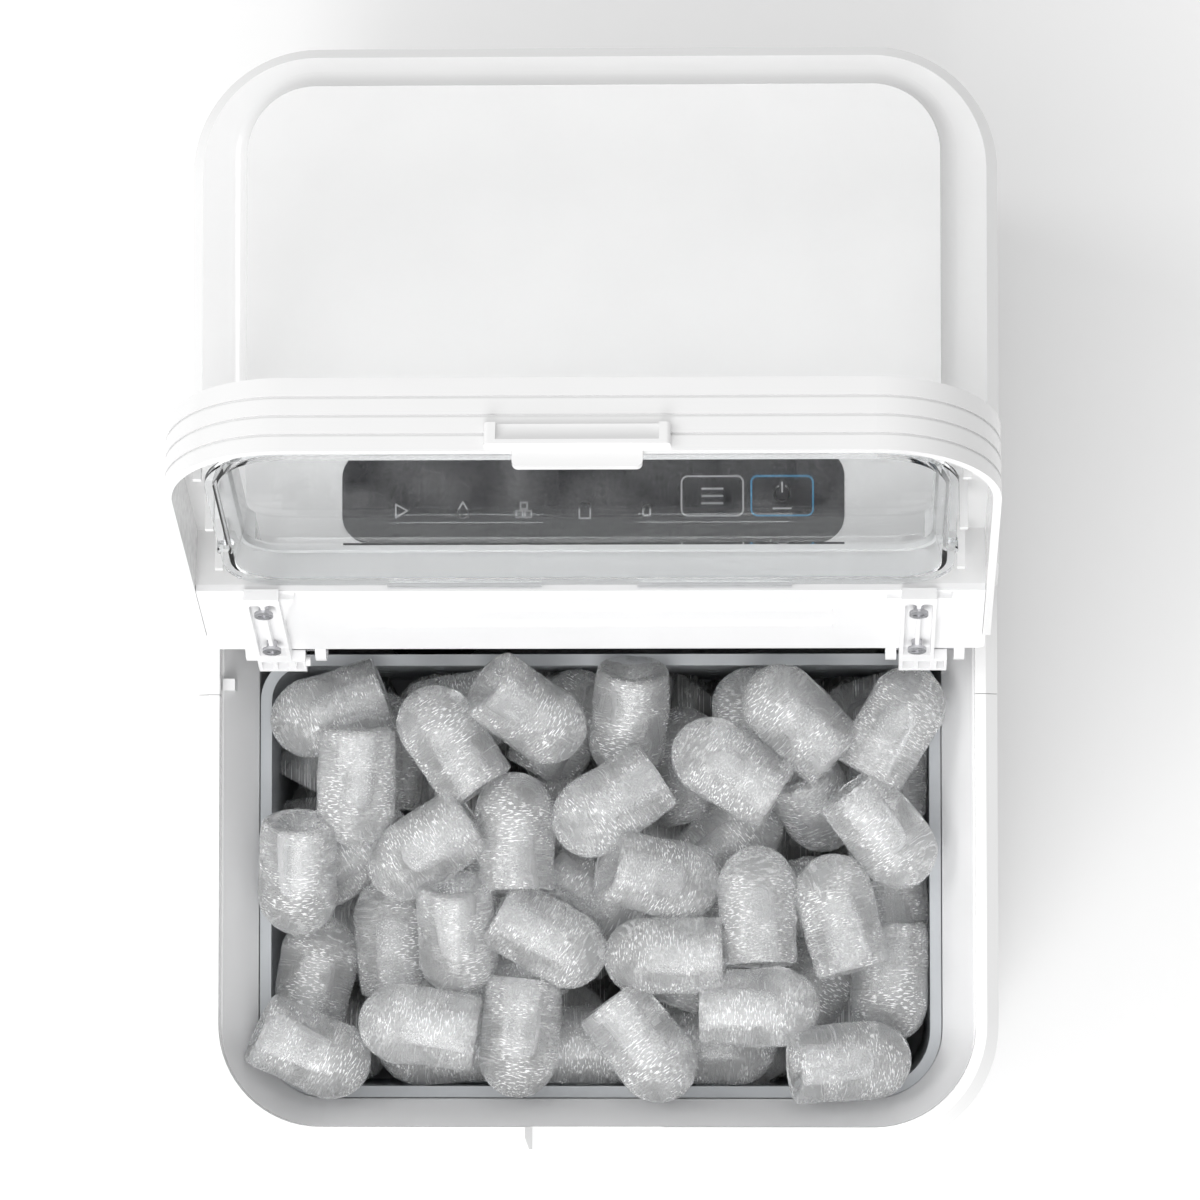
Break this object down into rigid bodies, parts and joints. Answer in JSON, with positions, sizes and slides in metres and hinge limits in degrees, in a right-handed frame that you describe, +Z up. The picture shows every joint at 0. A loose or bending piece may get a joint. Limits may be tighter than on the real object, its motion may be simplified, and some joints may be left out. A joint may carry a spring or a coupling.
{
  "type": "countertop ice maker",
  "caption": "Countertop bullet ice maker with a hinged clear-windowed lid standing open over an ice basket and a raised rear cover with a touch panel.",
  "frame": {"origin": "on the floor under the middle of the body's footprint", "axes": "+Z up, -Y the front where the lid opens, +X the right-hand side seen from the front"},
  "size_m": [0.225, 0.308, 0.428],
  "materials": {
    "white_gloss": "gloss white ABS",
    "white_satin": "satin white ABS",
    "basket_grey": "grey polypropylene",
    "tray_clear_grey": "tinted tray plastic",
    "clear": "clear styrene, polished",
    "panel_dark": "dark gloss overlay",
    "key_grey": "printed grey line",
    "key_blue": "printed blue line",
    "rubber": "black rubber",
    "plug_rubber": "white silicone rubber",
    "foam": "moulded foam",
    "steel": "zinc plated steel",
    "black_enamel": "black enamelled steel",
    "black_plastic": "black moulded plastic",
    "aluminium": "mill finish",
    "copper": "drawn copper",
    "nickel": "nickel plated copper",
    "circuit": "green circuit board",
    "led": "diffused lens"
  },
  "bodies": {
    "body": {"base_plate": "steel", "base_screws": "steel", "ceiling_plate": "white_satin", "chamber_liner": "white_satin", "compressor": "black_enamel", "compressor_bolts": "steel", "compressor_grommets": "rubber", "compressor_terminal_cover": "black_plastic", "condenser_end_plates": "steel", "condenser_fins": "aluminium", "condenser_tubes": "copper", "control_board": "circuit", "control_board_posts": "white_satin", "control_panel": "panel_dark", "cord_gland": "white_gloss", "cover_screws": "steel", "drain_spout": "plug_rubber", "evaporator_tube": "nickel", "fan_motor": "black_plastic", "fan_shroud": "black_plastic", "feet": "rubber", "filter_drier": "copper", "freezing_rods": "nickel", "front_shell": "white_gloss", "hinge_bracket_left": "white_satin", "hinge_bracket_right": "white_satin", "hinge_pins": "steel", "hot_gas_valve": "black_plastic", "ice_basket": "basket_grey", "ice_chute": "white_satin", "ice_sensors": "black_plastic", "indicator_leds": "led", "insulation_jacket": "foam", "level_probes": "white_satin", "mode_key_outline": "key_grey", "power_board": "circuit", "power_board_parts": "black_plastic", "power_board_posts": "white_satin", "power_key_outline": "key_blue", "pump_strainer": "black_plastic", "rear_cover": "white_gloss", "rear_shell": "white_gloss", "refrigerant_pipes": "copper", "touch_springs": "steel", "tray_bracket_left": "white_satin", "tray_bracket_right": "white_satin", "tray_motor": "black_plastic", "water_hose": "plug_rubber", "water_pump": "black_plastic"},
    "lid": {"lid_frame": "white_gloss", "lid_window": "clear", "lid_rear_panel": "white_satin", "lid_handle": "white_gloss", "hinge_arm_left": "white_satin", "hinge_arm_right": "white_satin", "lid_screws": "steel"},
    "water_tray": {"water_tray": "tray_clear_grey"},
    "ice_shovel": {"ice_shovel": "tray_clear_grey"},
    "cooling_fan": {"cooling_fan": "black_plastic"},
    "drain_plug": {"drain_plug": "plug_rubber"}
  },
  "joints": [
    {"name": "lid_hinge", "type": "hinge", "parent": "body", "child": "lid", "pos_m": [0, -0.012, 0.29], "axis": [1, 0, 0], "range_deg": [0, 109]},
    {"name": "tray_tilt", "type": "hinge", "parent": "body", "child": "water_tray", "pos_m": [0, 0.038, 0.246], "axis": [1, 0, 0], "range_deg": [0, 60]},
    {"name": "shovel_sweep", "type": "hinge", "parent": "body", "child": "ice_shovel", "pos_m": [0, 0.038, 0.246], "axis": [1, 0, 0], "range_deg": [0, 75]},
    {"name": "fan_spin", "type": "hinge", "parent": "body", "child": "cooling_fan", "pos_m": [0.056, 0.106, 0.078], "axis": [0, 1, 0], "continuous": true},
    {"name": "drain_pull", "type": "slide", "parent": "body", "child": "drain_plug", "axis": [-1, 0, 0], "range_m": [0, 0.018]}
  ],
  "couplings": [
    {"joint": "shovel_sweep", "follows": "tray_tilt", "ratio": 1.25}
  ]
}
